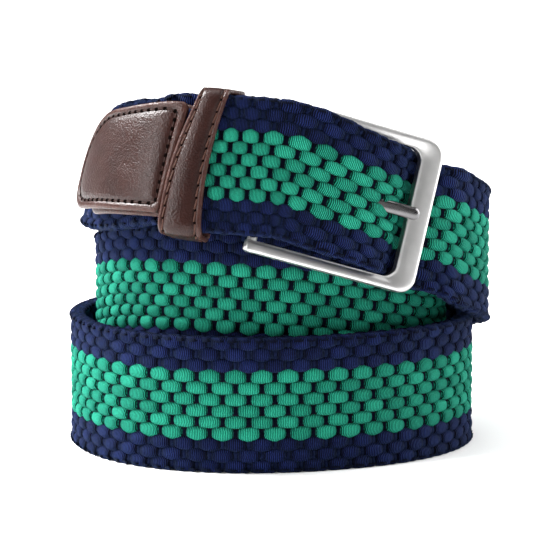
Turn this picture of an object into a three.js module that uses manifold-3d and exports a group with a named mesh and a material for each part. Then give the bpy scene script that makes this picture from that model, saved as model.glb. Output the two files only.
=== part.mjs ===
// Elastic stretch belt, buckled shut and coiled three times. Millimetres, +Z up, front of the coil towards -Y.
import * as THREE from 'three';
import { mergeVertices } from 'three/addons/utils/BufferGeometryUtils.js';
import Module from 'manifold-3d';

// Strap
const strap_width = 35;
const strap_thickness = 3.6;
const strap_edge_round = 1.1;
const strap_step = 4.4;
const layer_gap = 0.6;
const piece_gap = 0.36;

// Plan of the coil: the outer face of the bottom wrap
const coil_half_width = 54.1;
const coil_half_depth = 49;
const coil_squareness = 2.17;
const coil_turn_deg = 19.7;

// Buckle
const frame_length = 46.4;
const window_squeeze = 1;
const frame_lift = 0.7;
const window_clearance = 0.4;
const side_bar_width = 3.1;
const frame_thickness = 2.8;
const end_bar_width = 5.9;
const end_bar_dome = 0.7;
const frame_corner = 4.2;
const hinge_bar_diameter = 2.6;
const hinge_deg = -1.6;
const frame_turn_deg = -11.5;
const prong_width = 3.4;
const prong_thickness = 2.4;
const prong_eye_wall = 1.4;
const prong_clearance = 0.35;
const prong_reach_share = 0.36;
const prong_side = 0.2;

// Leather
const leather_thickness = 1.2;
const tab_leather = 1.1;
const tab_length = 15.5;
const tab_strap_thickness = 2.2;
const tab_slot = 7.5;
const keeper_width = 9;
const keeper_deg = -19.2;
const keeper_corner = 2.6;
const keeper_drop = 0.2;
const keeper_skew_deg = 6;
const tip_length = 36.3;
const tip_height = 29;
const tip_taper = 5;
const buckle_end_narrowing = 3;
const tip_skew_deg = 4;
const tip_gap = 0.9;
const tip_margin = 1.6;
const tip_strap_thickness = 2.4;
const tip_padding = 0.5;
const tip_big_corner = 14;
const tip_small_corner = 6.5;
const tip_inner_corner = 2;
const tip_back_extra = 0.45;

const rad = Math.PI / 180;
const full_turn = 360;
const half_strap = strap_thickness / 2;
const layer = strap_thickness + layer_gap;
const frame_window = strap_width - window_squeeze;
const frame_height = frame_window + 2 * side_bar_width;
const window_strap_width = frame_window - 2 * window_clearance;
const eye_outer = hinge_bar_diameter / 2 + piece_gap + prong_eye_wall;
const tip_stack = half_strap + 2 * piece_gap + leather_thickness + tip_strap_thickness / 2;

// Smooth curve through a table's column that never overshoots its rows
function column(rows, index) {
  const x = rows.map((row) => row[0]);
  const y = rows.map((row) => row[index]);
  const slope = x.slice(1).map((_, i) => (y[i + 1] - y[i]) / (x[i + 1] - x[i]));
  const tangent = x.map((_, i) => {
    if (i === 0) return slope[0];
    if (i === x.length - 1) return slope[i - 1];
    if (slope[i - 1] * slope[i] <= 0) return 0;
    const before = x[i] - x[i - 1];
    const after = x[i + 1] - x[i];
    const first = 2 * after + before;
    const second = after + 2 * before;
    return (first + second) / (first / slope[i - 1] + second / slope[i]);
  });
  return (at) => {
    let i = 0;
    while (i < x.length - 2 && at > x[i + 1]) i += 1;
    const span = x[i + 1] - x[i];
    const t = Math.min(1, Math.max(0, (at - x[i]) / span));
    const t2 = t * t;
    const t3 = t2 * t;
    const value = (2 * t3 - 3 * t2 + 1) * y[i] + (3 * t2 - 2 * t3) * y[i + 1];
    return value + span * ((t3 - 2 * t2 + t) * tangent[i] + (t3 - t2) * tangent[i + 1]);
  };
}

// Radius of the coil's plan at an angle from the front, positive to the right
function planRadius(deg) {
  const away = Math.sin(deg * rad);
  const front = -Math.cos(deg * rad);
  const c = Math.cos(coil_turn_deg * rad);
  const s = Math.sin(coil_turn_deg * rad);
  const across = Math.abs((away * c + front * s) / coil_half_width);
  const deep = Math.abs((front * c - away * s) / coil_half_depth);
  return (across ** coil_squareness + deep ** coil_squareness) ** (-1 / coil_squareness);
}

// A path through rows of [angle, distance in from the plan, height of the middle, lean of the top outwards].
// Between the angles of a lock the strap lies square to the lock's direction, easing into its own lean outside.
function makePath(rows, lock = null) {
  const inward = column(rows, 1);
  const height = column(rows, 2);
  const lean = column(rows, 3);
  const point = (deg) => {
    const r = planRadius(deg) - inward(deg);
    return new THREE.Vector3(r * Math.sin(deg * rad), -r * Math.cos(deg * rad), height(deg));
  };
  const level = (deg) => {
    const after = point(Math.min(deg + 0.05, rows[rows.length - 1][0]));
    const along = after.sub(point(Math.max(deg - 0.05, rows[0][0]))).normalize();
    const up = new THREE.Vector3(0, 0, 1).addScaledVector(along, -along.z).normalize();
    const out = new THREE.Vector3().crossVectors(along, up);
    return { along, up, out };
  };
  const frameAt = (deg) => {
    const { along, up, out } = level(deg);
    let a = lean(deg) * rad;
    if (lock) {
      const outside = Math.max(0, lock.from - deg, deg - lock.to) / lock.ease;
      const share = outside >= 1 ? 0 : 1 - outside * outside * (3 - 2 * outside);
      a += share * (Math.atan2(lock.across.dot(out), lock.across.dot(up)) - a);
    }
    const across = up.clone().multiplyScalar(Math.cos(a)).addScaledVector(out, Math.sin(a));
    const normal = out.clone().multiplyScalar(Math.cos(a)).addScaledVector(up, -Math.sin(a));
    return { origin: point(deg), along, across, normal };
  };
  return { first: rows[0][0], last: rows[rows.length - 1][0], point, frameAt, inward };
}

// The strap from the right side onward: bottom wrap, middle wrap and the buckle end, up to the hinge bar
const tail_front = half_strap - 1.15 * layer;
const buckle_end = tail_front + half_strap + piece_gap + eye_outer;
const keeper_back = buckle_end + tab_strap_thickness / 2 + 2 * tab_leather + 2 * piece_gap + leather_thickness;
const middle_wrap = Math.max(half_strap + 1.7 * layer, keeper_back + piece_gap + half_strap);
const buckle_last = 3 * full_turn + hinge_deg;
const w = strap_width;
const coil_rows = [
  [90, half_strap - layer, 1.414 * w, 0],
  [135, half_strap - layer, 1.16 * w, 0],
  [180, half_strap - layer, 0.86 * w, 0],
  [225, half_strap - 0.5 * layer, 0.58 * w, 0],
  [250, half_strap - 0.15 * layer, w / 2, 0],
  [270, half_strap, w / 2, 0],
  [360, half_strap, w / 2, 0],
  [450, half_strap, w / 2, 0],
  [490, half_strap + 0.08 * layer, w / 2, 0],
  [540, half_strap + 0.3 * layer, 0.69 * w, 0],
  [562, half_strap + 0.43 * layer, 0.82 * w, 0],
  [585, half_strap + layer, 0.971 * w, 0],
  [610, half_strap + 1.5 * layer, 1.03 * w, 0],
  [630, half_strap + 1.62 * layer, 1.075 * w, 0],
  [648, half_strap + 1.67 * layer, 1.16 * w, 0],
  [668, middle_wrap, 1.24 * w, 0],
  [690, middle_wrap, 1.266 * w, 0],
  [720, middle_wrap, 1.235 * w, 0],
  [745, middle_wrap, 1.17 * w, 0],
  [765, half_strap + 1.7 * layer, 1.1 * w, 0],
  [785, half_strap + 1.68 * layer, 1.01 * w, 0],
  [810, half_strap + 1.7 * layer, 0.95 * w, 0],
  [855, half_strap + 1.6 * layer, 1.26 * w, 0],
  [900, half_strap + 1.55 * layer, 1.72 * w, 0],
  [922, half_strap + 1.5 * layer, 1.92 * w, -4],
  [945, half_strap + 1.24 * layer, 2.05 * w, -9],
  [972, half_strap + 1.45 * layer, 2.095 * w, -13.5],
  [990, half_strap + 1.72 * layer, 2.094 * w, -16],
  [1014, half_strap + 1.42 * layer, 2.131 * w, -16.5],
  [1035, buckle_end + 0.62 * layer, 2.195 * w, -16.5],
  [1052, buckle_end, 2.275 * w, -15.5],
  [1064, buckle_end, 2.254 * w, -14],
  [buckle_last, buckle_end, 2.163 * w, -12],
];
const inner = makePath(coil_rows);

// The buckle's frame turns about the hinge bar, out to where the strap passes behind its end bar
const hinge = inner.frameAt(buckle_last);
const turn = frame_turn_deg * rad;
const frame_along = hinge.along.clone().multiplyScalar(Math.cos(turn)).addScaledVector(hinge.normal, Math.sin(turn));
const frame_out = hinge.normal.clone().multiplyScalar(Math.cos(turn)).addScaledVector(hinge.along, -Math.sin(turn));
const frame_across = hinge.across.clone();
const hinge_inset = hinge_bar_diameter / 2 + 0.2;
const end_bar_at = frame_length - hinge_inset - end_bar_width / 2;
const onFrame = (u, n, v) => hinge.origin.clone()
  .addScaledVector(frame_along, u)
  .addScaledVector(frame_out, n)
  .addScaledVector(frame_across, v + frame_lift);

// Where a point lies on the coil's plan: its angle, how far in it is, its height
function planPlace(p) {
  const deg = Math.atan2(p.x, -p.y) / rad;
  return { deg, inward: planRadius(deg) - Math.hypot(p.x, p.y), height: p.z };
}
const strap_rise = 1.5;
const under_bar = -(frame_thickness / 2 + 2 * piece_gap + half_strap);
const behind_bar_start = planPlace(onFrame(end_bar_at - end_bar_width / 2 - 1.3, under_bar, 0));
const behind_bar_end = planPlace(onFrame(end_bar_at + end_bar_width / 2 + 0.4, under_bar, -0.8 * strap_rise));
const prong_hole_at = end_bar_at - end_bar_width / 2 - 6.2;
const prong_hole = planPlace(onFrame(prong_hole_at, 1.7, 0));
const over_hinge = planPlace(onFrame(0, eye_outer + piece_gap + half_strap, strap_rise));
const over_side_bars = planPlace(onFrame(0.46 * end_bar_at, 5.4, 0.45 * strap_rise));

// The tail, from the free tip to the right side, laid on the buckle end and through the frame
const tipInward = (deg) => inner.inward(3 * full_turn + deg) - tip_stack;
const through_frame = [over_hinge, over_side_bars, prong_hole, behind_bar_start, behind_bar_end];
const tail_rows = [
  [-84, tipInward(-84), 2.12 * w, -16],
  [-66, tipInward(-66), 2.205 * w, -16.5],
  [-45, tipInward(-45), 2.29 * w, -16.5],
  [-29, tipInward(-29), 2.314 * w, -15.5],
  [-20, tail_front, 2.288 * w, -14],
  ...through_frame.map((place) => [place.deg, place.inward, place.height, -8]),
  [58, half_strap - 0.8 * layer, 1.705 * w, -4],
  [66, half_strap - 0.95 * layer, 1.61 * w, -3],
  [76, half_strap - layer, 1.52 * w, -1],
];
const window_lock = { across: frame_across, from: over_hinge.deg, to: behind_bar_end.deg, ease: 14 };
const path = makePath([...tail_rows, ...coil_rows], window_lock);

// Lengths along the path, and the angle at a length
const arc_samples = 6000;
const arcs = [0];
const degAt = (i) => path.first + ((path.last - path.first) * i) / arc_samples;
for (let i = 1; i <= arc_samples; i += 1) {
  arcs.push(arcs[i - 1] + path.point(degAt(i)).distanceTo(path.point(degAt(i - 1))));
}
const arcOf = (deg) => arcs[Math.round(((deg - path.first) / (path.last - path.first)) * arc_samples)];
function degOf(arc) {
  let low = 0;
  let high = arc_samples;
  while (high - low > 1) {
    const middle = (low + high) >> 1;
    if (arcs[middle] > arc) high = middle;
    else low = middle;
  }
  return degAt(low) + ((arc - arcs[low]) / (arcs[high] - arcs[low])) * (degAt(high) - degAt(low));
}

// A point by the strap: length along the path, out from its middle face, across from its centreline
function onStrap(arc, n, v) {
  const beyond = Math.max(0, arc - arcs[arc_samples]);
  const f = path.frameAt(degOf(Math.min(arc, arcs[arc_samples])));
  return f.origin.clone()
    .addScaledVector(f.along, beyond)
    .addScaledVector(f.normal, n)
    .addScaledVector(f.across, v);
}

// Closed skin over rings of points, capped at both ends, or joined end to start when looped
function loft(rings, looped = false) {
  const count = rings[0].length;
  const positions = rings.flat().flatMap((p) => [p.x, p.y, p.z]);
  const index = [];
  const bands = looped ? rings.length : rings.length - 1;
  for (let i = 0; i < bands; i += 1) {
    const here = i * count;
    const next = ((i + 1) % rings.length) * count;
    for (let j = 0; j < count; j += 1) {
      const k = (j + 1) % count;
      index.push(here + j, next + j, next + k, here + j, next + k, here + k);
    }
  }
  if (!looped) {
    const last = (rings.length - 1) * count;
    for (let j = 1; j < count - 1; j += 1) {
      index.push(0, j, j + 1);
      index.push(last, last + j + 1, last + j);
    }
  }
  const geometry = new THREE.BufferGeometry();
  geometry.setAttribute('position', new THREE.Float32BufferAttribute(positions, 3));
  geometry.setIndex(index);
  return outward(geometry);
}

// The same skin with its faces turned outwards if its volume comes out negative
function outward(geometry) {
  const p = geometry.attributes.position;
  const ix = geometry.index;
  const a = new THREE.Vector3();
  const b = new THREE.Vector3();
  const c = new THREE.Vector3();
  let volume = 0;
  for (let i = 0; i < ix.count; i += 3) {
    a.fromBufferAttribute(p, ix.getX(i));
    b.fromBufferAttribute(p, ix.getX(i + 1));
    c.fromBufferAttribute(p, ix.getX(i + 2));
    volume += a.dot(b.cross(c));
  }
  if (volume < 0) {
    for (let i = 0; i < ix.count; i += 3) {
      const second = ix.getX(i + 1);
      ix.setX(i + 1, ix.getX(i + 2));
      ix.setX(i + 2, second);
    }
  }
  return geometry;
}

// Section of a flat band, as [out, across] pairs: eased edges, faces between low and high, an optional padded middle
function bandSection(low, high, thick, ease, padding = 0) {
  const t = thick / 2;
  const e = Math.min(ease, t * 0.75);
  const soft = e * 0.35;
  const middle = (share) => low + (high - low) * share;
  const faces = padding > 0
    ? [[t + padding * 0.75, middle(0.25)], [t + padding, middle(0.5)], [t + padding * 0.75, middle(0.75)]]
    : [];
  const back = padding > 0 ? [[-t, middle(0.75)], [-t, middle(0.5)], [-t, middle(0.25)]] : [];
  return [
    [-(t - e), low], [t - e, low], [t - soft, low + soft], [t, low + e],
    ...faces,
    [t, high - e], [t - soft, high - soft], [t - e, high], [-(t - e), high],
    [-(t - soft), high - soft], [-t, high - e],
    ...back,
    [-t, low + e], [-(t - soft), low + soft],
  ];
}

// The woven strap: full width on the coil, narrower in the leather tip, the frame's window and the tab
const keeper_arc = arcOf(keeper_deg);
const keeper_skew = Math.tan(keeper_skew_deg * rad);
const tip_skew = Math.tan(tip_skew_deg * rad);
const skew_room = (tip_height / 2) * Math.abs(keeper_skew - tip_skew);
const tip_to = keeper_arc - keeper_width / 2 - tip_gap - skew_room;
const tip_from = tip_to - tip_length;
const hinge_arc = arcOf(over_hinge.deg);
const bar_arc = arcOf(behind_bar_start.deg);
const bar_end_arc = arcOf(behind_bar_end.deg);
const strap_from = tip_from + tip_margin;
const strap_to = arcs[arc_samples] - eye_outer - piece_gap;
const tab_strap_width = frame_window - 2 * (window_clearance + frame_lift) - 3;
const width_rows = [
  [strap_from, tip_height - 2 * tip_margin, tip_strap_thickness],
  [tip_to + 0.8, tip_height - 2 * tip_margin, tip_strap_thickness],
  [keeper_arc + keeper_width * 0.3, strap_width, strap_thickness],
  [hinge_arc + 0.2 * (bar_arc - hinge_arc), strap_width, strap_thickness],
  [bar_arc - 13, window_strap_width, strap_thickness],
  [bar_end_arc + 2, window_strap_width, strap_thickness],
  [bar_end_arc + 22, strap_width, strap_thickness],
  [arcOf(950), strap_width, strap_thickness],
  [arcOf(985), strap_width - buckle_end_narrowing, strap_thickness],
  [arcOf(1040), strap_width - buckle_end_narrowing, strap_thickness],
  [strap_to - tab_length - 3.5, strap_width, strap_thickness],
  [strap_to - tab_length + 2.6, tab_strap_width, tab_strap_thickness],
  [strap_to, tab_strap_width, tab_strap_thickness],
];
const strapWidth = column(width_rows, 1);
const strapThickness = column(width_rows, 2);

// Outline of the leather tip at a length from its free end, with the given amount inside its edge
function tipLimits(at, inset) {
  const half = tip_height / 2 - inset;
  const length = tip_length - 2 * inset;
  const x = Math.min(length, Math.max(0, at - inset));
  const corner = (distance, radius) => {
    const r = Math.max(0.4, radius - inset);
    if (distance >= r) return 0;
    return r - Math.sqrt(r * r - (r - distance) ** 2);
  };
  const narrower = tip_taper * (1 - x / length);
  const high = half - 0.85 * narrower - corner(x, tip_big_corner) - corner(length - x, tip_inner_corner);
  const low = -half + 0.15 * narrower + corner(x, tip_small_corner) + corner(length - x, tip_inner_corner);
  return [low, high];
}

function strapGeometry() {
  const stops = [];
  const near_tip = [0, 0.5, 1.3, 2.6, 4.4, 7];
  near_tip.forEach((d) => stops.push(strap_from + d));
  const start = strap_from + 11;
  const count = Math.round((strap_to - start) / strap_step);
  for (let i = 0; i <= count; i += 1) stops.push(start + ((strap_to - start) * i) / count);
  const rings = stops.map((arc) => {
    const half = strapWidth(arc) / 2;
    let [low, high] = [-half, half];
    if (arc < tip_to) {
      const limits = tipLimits(arc - tip_from, tip_margin);
      low = Math.max(low, limits[0]);
      high = Math.min(high, limits[1]);
    }
    const section = bandSection(low, high, strapThickness(arc), strap_edge_round);
    return section.map(([n, v]) => onStrap(arc, n, v));
  });
  return loft(rings);
}

// One leather layer of the tip
function tipLayer(side, padding, extra) {
  const middle = side * (tip_strap_thickness / 2 + piece_gap + leather_thickness / 2);
  const ends = [0, 0.25, 0.7, 1.5, 2.8, 4.6, 7, 10];
  const right = [0, 0.4, 1, 2];
  const reach = tip_length + extra;
  const stops = [
    ...ends,
    ...[0.38, 0.47, 0.56, 0.65, 0.74, 0.83].map((share) => share * tip_length),
    ...right.map((d) => reach - d).reverse(),
  ];
  const rings = stops.map((at) => {
    const [low, high] = tipLimits(at - Math.max(0, Math.min(extra, at - tip_length / 2)), 0);
    const rim = Math.min(1, Math.max(0, Math.min(at, tip_length - at)) / 4);
    const section = bandSection(low - extra, high, leather_thickness, 0.4, padding * rim + 0.001);
    const slant = tip_skew * (at / tip_length);
    return section.map(([n, v]) => onStrap(tip_from + at + v * slant, middle + (side > 0 ? n : -n), v));
  });
  return loft(rings);
}

// The keeper: a band of leather round the tail and the buckle end
function keeperGeometry() {
  const tail_to_end = buckle_end - tail_front;
  const out = half_strap + piece_gap + leather_thickness / 2;
  const behind = Math.max(tab_strap_thickness / 2 + tab_leather + piece_gap, half_strap);
  const back = -(tail_to_end + behind + 2 * piece_gap + leather_thickness / 2);
  const top = strap_width / 2 + piece_gap + leather_thickness / 2;
  const bottom = -top - keeper_drop;
  const corner_steps = 5;
  const loop = [];
  const addCorner = (n, v, radius, from) => {
    for (let i = 0; i <= corner_steps; i += 1) {
      const a = (from + (90 * i) / corner_steps) * rad;
      loop.push({ n: n + radius * Math.cos(a), v: v + radius * Math.sin(a), a });
    }
  };
  const r = keeper_corner;
  const small = keeper_corner * 0.6;
  addCorner(out - r, top - r, r, 0);
  addCorner(back + small, top - small, small, 90);
  addCorner(back + small, bottom + small, small, 180);
  addCorner(out - r, bottom + r, r, 270);
  const t = leather_thickness / 2;
  const half = keeper_width / 2;
  const section = [
    [-half, -t * 0.4], [-half, t * 0.4], [-half + 0.4, t], [-half * 0.5, t + 0.3], [0, t + 0.4], [half * 0.5, t + 0.3],
    [half - 0.4, t], [half, t * 0.4], [half, -t * 0.4], [half - 0.4, -t], [half * 0.4, -t], [-half * 0.4, -t],
    [-half + 0.4, -t],
  ];
  const rings = loop.map(({ n, v, a }) => section.map(([along, off]) => (
    onStrap(keeper_arc + along + v * keeper_skew, n + off * Math.cos(a), v + off * Math.sin(a))
  )));
  return loft(rings, true);
}

// The buckle's frame: two side bars and a domed end bar in one bent bar, with the round hinge bar between the ends
function frameGeometry(solid) {
  const outer_half = frame_height / 2;
  const inner_half = frame_window / 2;
  const left = -hinge_inset;
  const right = left + frame_length;
  const inner_right = right - end_bar_width;
  const inner_corner = frame_corner * 0.62;
  const steps = 6;
  const pairs = [];
  const along_sides = [0, 0.33, 0.66];
  const side_to = right - frame_corner;
  const inner_to = inner_right - inner_corner;
  const pair = (ou, ov, iu, iv) => pairs.push({ outer: [ou, ov], inside: [iu, iv] });
  along_sides.forEach((share) => {
    pair(left + (side_to - left) * share, -outer_half, left + (inner_to - left) * share, -inner_half);
  });
  for (let i = 0; i <= steps; i += 1) {
    const a = (-90 + (90 * i) / steps) * rad;
    pair(
      side_to + frame_corner * Math.cos(a), -outer_half + frame_corner + frame_corner * Math.sin(a),
      inner_to + inner_corner * Math.cos(a), -inner_half + inner_corner + inner_corner * Math.sin(a),
    );
  }
  [0.25, 0.5, 0.75].forEach((share) => {
    const ov = (2 * share - 1) * (outer_half - frame_corner);
    const iv = (2 * share - 1) * (inner_half - inner_corner);
    pair(right, ov, inner_right, iv);
  });
  for (let i = 0; i <= steps; i += 1) {
    const a = ((90 * i) / steps) * rad;
    pair(
      side_to + frame_corner * Math.cos(a), outer_half - frame_corner + frame_corner * Math.sin(a),
      inner_to + inner_corner * Math.cos(a), inner_half - inner_corner + inner_corner * Math.sin(a),
    );
  }
  [...along_sides].reverse().forEach((share) => {
    pair(left + (side_to - left) * share, outer_half, left + (inner_to - left) * share, inner_half);
  });
  const t = frame_thickness / 2;
  const ease = 0.5;
  const rings = pairs.map(({ outer, inside }) => {
    const wide = Math.hypot(outer[0] - inside[0], outer[1] - inside[1]);
    const du = (outer[0] - inside[0]) / wide;
    const dv = (outer[1] - inside[1]) / wide;
    const grown = (wide - side_bar_width) / (end_bar_width - side_bar_width);
    const dome = end_bar_dome * Math.min(1, Math.max(0, grown));
    const at = (across, n) => onFrame(inside[0] + du * across, n, inside[1] + dv * across);
    return [
      at(0, -t + ease), at(0, t - ease), at(ease, t),
      at(wide * 0.33, t + dome * 0.9), at(wide * 0.66, t + dome * 0.9),
      at(wide - ease, t), at(wide, t - ease), at(wide, -t + ease), at(wide - ease, -t), at(ease, -t),
    ];
  });
  const bar_rings = [-inner_half - 0.9, inner_half + 0.9].map((v) => {
    const ring = [];
    for (let i = 0; i < 16; i += 1) {
      const a = (i / 16) * 2 * Math.PI;
      ring.push(onFrame((hinge_bar_diameter / 2) * Math.cos(a), (hinge_bar_diameter / 2) * Math.sin(a), v));
    }
    return ring;
  });
  return fromSolid(solid(loft(rings)).add(solid(loft(bar_rings))));
}

// The prong's centreline on the frame, as [along, out] pairs, and its section's size there
const prong_rest = frame_thickness / 2 + end_bar_dome + piece_gap + prong_thickness / 2;
const prong_end = end_bar_at + end_bar_width * (prong_reach_share - 0.5);
const prong_line = [
  [eye_outer - 0.5, 0.1, 1],
  [0.2 * end_bar_at, 0.15 * prong_rest, 1],
  [0.45 * end_bar_at, 0.45 * prong_rest, 1],
  [0.7 * end_bar_at, 0.8 * prong_rest, 1],
  [0.85 * end_bar_at, prong_rest, 1],
  [prong_end - 1.6, prong_rest, 1],
  [prong_end - 0.6, prong_rest, 0.86],
  [prong_end - 0.05, prong_rest, 0.45],
];

function prongBar(grow) {
  const sides = 12;
  const rings = prong_line.map(([u, n, size], i) => {
    const last = i === prong_line.length - 1;
    const ring = [];
    for (let j = 0; j < sides; j += 1) {
      const a = (j / sides) * 2 * Math.PI;
      const wide = (prong_width / 2) * size + grow;
      const thick = (prong_thickness / 2) * (0.4 + 0.6 * size) + grow;
      const ahead = last ? grow : 0;
      ring.push(onFrame(u + ahead, n + thick * Math.sin(a), wide * Math.cos(a) + prong_side));
    }
    return ring;
  });
  return loft(rings);
}

function prongGeometry(solid) {
  const sides = 20;
  const half = prong_width / 2;
  const round = 0.5;
  const low_radius = hinge_bar_diameter / 2 + piece_gap;
  const section = [
    [low_radius, -half], [eye_outer - round, -half], [eye_outer, -half + round],
    [eye_outer, half - round], [eye_outer - round, half], [low_radius, half],
  ];
  const rings = [];
  for (let i = 0; i < sides; i += 1) {
    const a = (i / sides) * 2 * Math.PI;
    rings.push(section.map(([r, v]) => onFrame(r * Math.cos(a), r * Math.sin(a), v + prong_side)));
  }
  return fromSolid(solid(loft(rings, true)).add(solid(prongBar(0))));
}

// The leather tab: folded round the hinge bar, with a slot for the prong's eye
function tabGeometry(solid) {
  const half = frame_window / 2 - window_clearance - frame_lift;
  const bend = hinge_bar_diameter / 2 + piece_gap + tab_leather / 2;
  const flat = tab_strap_thickness / 2 + piece_gap + tab_leather / 2;
  const line = [];
  const end = arcs[arc_samples];
  const ease_in = 3;
  const stops = [tab_length, 16, 13, 10, 7.5, 5.5, 4, ease_in];
  stops.forEach((back) => line.push([end - back, flat]));
  line.push([end - ease_in * 0.5, (flat + bend) / 2]);
  const fold_steps = 10;
  for (let i = 0; i <= fold_steps; i += 1) {
    const a = (90 - (180 * i) / fold_steps) * rad;
    line.push([end + bend * Math.cos(a), bend * Math.sin(a)]);
  }
  line.push([end - ease_in * 0.5, -(flat + bend) / 2]);
  [...stops].reverse().forEach((back) => line.push([end - back, -flat]));
  const t = tab_leather / 2;
  const rings = line.map(([s, n], i) => {
    const before = line[Math.max(0, i - 1)];
    const after = line[Math.min(line.length - 1, i + 1)];
    const ds = after[0] - before[0];
    const dn = after[1] - before[1];
    const size = Math.hypot(ds, dn);
    const [os, on] = [-dn / size, ds / size];
    return [[-t, -half], [t, -half], [t, half], [-t, half]].map(([off, v]) => onStrap(s + os * off, n + on * off, v));
  });
  const slot_from = -(ease_in + 3.2);
  const slot_to = bend + tab_leather + 1;
  const slot_rings = [slot_from, slot_to].map((u) => (
    [[-6, -1], [6, -1], [6, 1], [-6, 1]].map(([n, side]) => onStrap(end, n, (side * tab_slot) / 2 + prong_side + frame_lift)
      .addScaledVector(hinge.along, u))
  ));
  return fromSolid(solid(loft(rings)).subtract(solid(loft(slot_rings))));
}

const wasm = await Module();
wasm.setup();

function toSolid(geometry) {
  const bare = new THREE.BufferGeometry();
  bare.setAttribute('position', geometry.attributes.position.clone());
  bare.setIndex(geometry.index.clone());
  const welded = mergeVertices(bare, 1e-5);
  return new wasm.Manifold(new wasm.Mesh({
    numProp: 3,
    vertProperties: new Float32Array(welded.attributes.position.array),
    triVerts: new Uint32Array(welded.index.array),
  }));
}

function fromSolid(body) {
  const mesh = body.getMesh();
  const positions = new Float32Array(mesh.numVert * 3);
  for (let i = 0; i < mesh.numVert; i += 1) {
    for (let k = 0; k < 3; k += 1) positions[3 * i + k] = mesh.vertProperties[i * mesh.numProp + k];
  }
  const geometry = new THREE.BufferGeometry();
  geometry.setAttribute('position', new THREE.BufferAttribute(positions, 3));
  geometry.setIndex(new THREE.BufferAttribute(new Uint32Array(mesh.triVerts), 1));
  return geometry;
}

const group = new THREE.Group();
group.name = 'elastic_stretch_belt';

function addPiece(name, geometry, colour, metalness = 0, roughness = 0.8) {
  geometry.computeVertexNormals();
  const material = new THREE.MeshStandardMaterial({ color: colour, metalness, roughness });
  material.name = `${name}_material`;
  const mesh = new THREE.Mesh(geometry, material);
  mesh.name = name;
  group.add(mesh);
}

const strap = toSolid(strapGeometry()).subtract(toSolid(prongBar(prong_clearance)));
addPiece('woven_strap', fromSolid(strap), 0x2c8f6c);
addPiece('buckle_frame', frameGeometry(toSolid), 0xb9b9ba, 0.9, 0.35);
addPiece('buckle_prong', prongGeometry(toSolid), 0xa9a9aa, 0.9, 0.3);
addPiece('buckle_tab', tabGeometry(toSolid), 0x4a3430);
addPiece('keeper_loop', keeperGeometry(), 0x5a403a);
addPiece('tip_front', tipLayer(1, tip_padding, 0), 0x5a403c);
addPiece('tip_back', tipLayer(-1, 0, tip_back_extra), 0x4c3430);

// The part stands on z = 0 with its plan's box centred on the z axis
const bounds = new THREE.Box3().setFromObject(group);
const middle = bounds.getCenter(new THREE.Vector3());
group.children.forEach((mesh) => mesh.geometry.translate(-middle.x, -middle.y, -bounds.min.z));

export default group;
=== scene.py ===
"""Elastic stretch belt, buckled shut and coiled on its edge: the look of its weave, leather and metal.

Sizes are millimetres, in the coil's own frame, whose z axis is the middle of the plan curve. Meshes are made
in metres, moved to where the CAD frame has the part.
"""
import random
from math import atan, atan2, cos, degrees, hypot, pi, radians, sin, sqrt, tan

import bpy
import numpy as np
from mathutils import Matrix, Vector


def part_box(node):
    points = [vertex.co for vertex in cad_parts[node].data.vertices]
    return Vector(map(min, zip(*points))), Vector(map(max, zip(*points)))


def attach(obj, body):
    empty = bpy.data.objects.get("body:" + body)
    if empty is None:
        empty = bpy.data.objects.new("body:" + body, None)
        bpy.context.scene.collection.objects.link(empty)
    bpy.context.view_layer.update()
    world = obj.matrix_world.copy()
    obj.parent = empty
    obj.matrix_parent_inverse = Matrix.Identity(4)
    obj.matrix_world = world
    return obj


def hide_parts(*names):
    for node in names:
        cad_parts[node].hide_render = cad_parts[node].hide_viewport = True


MM = 0.001
chance = random.Random(7)

# Strap
strap_width = 35
strap_thickness = 3.6
layer_gap = 0.6
piece_gap = 0.36

# Plan of the coil: the outer face of the bottom wrap
coil_half_width = 54.1
coil_half_depth = 49
coil_squareness = 2.17
coil_turn_deg = 19.7

# Buckle
frame_length = 46.4
window_squeeze = 1
frame_lift = 0.7
window_clearance = 0.4
side_bar_width = 3.1
frame_thickness = 2.8
end_bar_width = 5.9
end_bar_dome = 0.7
frame_corner = 4.2
hinge_bar_diameter = 2.6
hinge_deg = -1.6
frame_turn_deg = -11.5
prong_width = 3.4
prong_thickness = 2.4
prong_eye_wall = 1.4
prong_reach_share = 0.36
prong_side = 0.2
strap_rise = 1.5

# Leather
leather_thickness = 1.2
tab_leather = 1.1
tab_length = 15.5
tab_strap_thickness = 2.2
tab_slot = 7.5
keeper_width = 9
keeper_deg = -19.2
keeper_corner = 2.6
keeper_drop = 0.2
keeper_skew_deg = 6
tip_length = 37.6
tip_height = 29
tip_taper = 5
buckle_end_narrowing = 3.8
tip_skew_deg = 4
tip_gap = 0.9
tip_margin = 1.6
tip_strap_thickness = 2.4
tip_big_corner = 14
tip_small_corner = 6.5
tip_inner_corner = 2
tip_back_extra = 0.45

half_strap = strap_thickness / 2
layer = strap_thickness + layer_gap
frame_window = strap_width - window_squeeze
frame_height = frame_window + 2 * side_bar_width
window_strap_width = frame_window - 2 * window_clearance
eye_outer = hinge_bar_diameter / 2 + piece_gap + prong_eye_wall
tip_stack = half_strap + 2 * piece_gap + leather_thickness + tip_strap_thickness / 2
full_turn = 360

# Weave: rows of floats across the strap, the green ones in the middle
row_count = 12
row_pitch = strap_width / row_count
green_rows = range(3, 9)
navy_low = range(0, 3)
navy_high = range(9, row_count)
counted_row = 8
core_thickness = 1.7
core_inset = 0.9
yarn_base = core_thickness / 2 - 0.25
green_gap = 1.05
navy_gap = 0.3
navy_peak = 0.4
float_proud = 0.15
ribs_per_float = 13
braid_slant_deg = 33
# A fixed low tone for the crossing yarns between floats, below the floats' average: painted shade that
# darkens them
gap_shade_tone = 0.2

# Stitching and the keeper's place
tip_seam_inset = 2.2
tip_stitch_pitch = 2.3
keeper_stitch_pitch = 3.1
keeper_seam_inset = 1.33
keeper_back_shift = 4
keeper_bow = 1.7

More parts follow.
